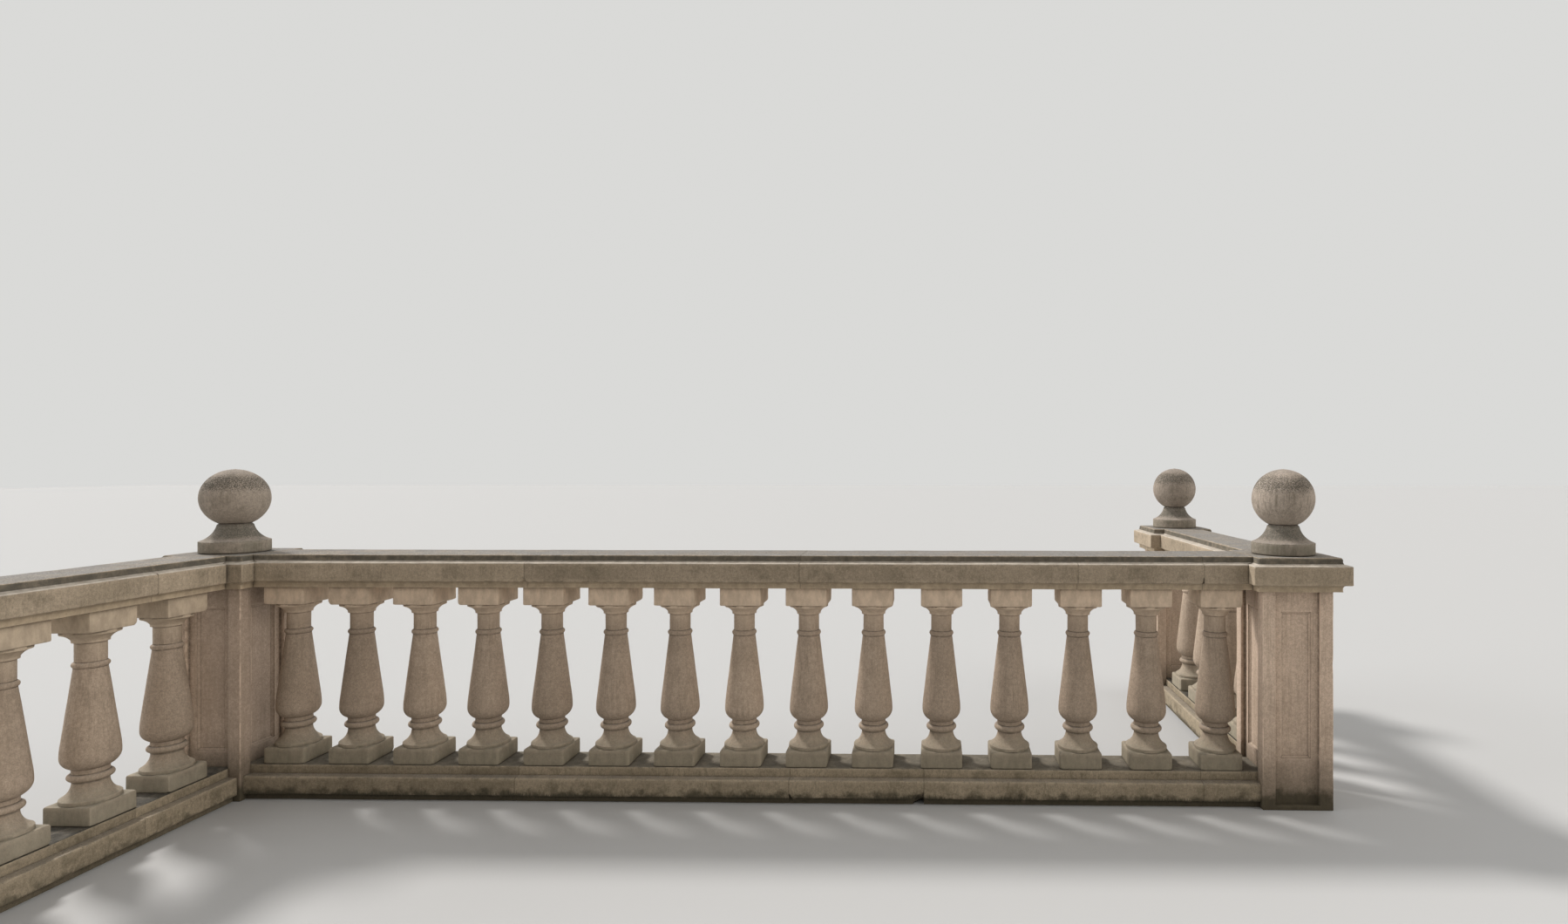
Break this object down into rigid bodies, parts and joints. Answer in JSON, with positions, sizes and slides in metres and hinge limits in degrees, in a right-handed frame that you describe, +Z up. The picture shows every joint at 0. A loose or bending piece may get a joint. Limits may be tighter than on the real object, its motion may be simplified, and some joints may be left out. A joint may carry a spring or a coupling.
{
  "type": "stone balustrade",
  "caption": "Terrace guard of turned stone balusters between a moulded plinth and coping, with panelled piers, moulded caps and ball finials, set out as a zigzag of three runs.",
  "frame": {"origin": "on the ground, at the middle of the box around the whole balustrade", "axes": "+X along the main run from the wing's pier to the return's pier, +Y back through the main run, +Z up"},
  "size_m": [4.9286, 4.646, 1.3922],
  "materials": {
    "pier_stone": "fine sandy cast stone, weathered, with grime at the foot",
    "plinth_stone": "fine sandy cast stone, weathered and stained along the foot",
    "baluster_stone": "fine sandy cast stone, lightly weathered",
    "coping_stone": "cast stone with streaked fascias and lichen on the top",
    "finial_stone": "cast stone with dark lichen over the top"
  },
  "bodies": {
    "root": {"wing_end_pier": "pier_stone", "wing_end_cap": "coping_stone", "wing_end_finial_base": "finial_stone", "wing_end_finial_ball": "finial_stone", "left_pier": "pier_stone", "left_cap": "coping_stone", "left_finial_base": "finial_stone", "left_finial_ball": "finial_stone", "right_pier": "pier_stone", "right_cap": "coping_stone", "right_finial_base": "finial_stone", "right_finial_ball": "finial_stone", "far_pier": "pier_stone", "far_cap": "coping_stone", "far_finial_base": "finial_stone", "far_finial_ball": "finial_stone", "main_plinth_1": "plinth_stone", "main_plinth_2": "plinth_stone", "main_plinth_3": "plinth_stone", "main_plinth_4": "plinth_stone", "main_plinth_5": "plinth_stone", "wing_plinth_1": "plinth_stone", "wing_plinth_2": "plinth_stone", "wing_plinth_3": "plinth_stone", "return_plinth": "plinth_stone", "main_coping_1": "coping_stone", "main_coping_2": "coping_stone", "main_coping_3": "coping_stone", "main_coping_4": "coping_stone", "main_coping_5": "coping_stone", "wing_coping_1": "coping_stone", "wing_coping_2": "coping_stone", "wing_coping_3": "coping_stone", "return_coping": "coping_stone", "main_balusters_left": "baluster_stone", "main_balusters_middle": "baluster_stone", "main_balusters_right": "baluster_stone", "wing_balusters_back": "baluster_stone", "wing_balusters_front": "baluster_stone", "return_balusters": "baluster_stone"}
  },
  "joints": []
}
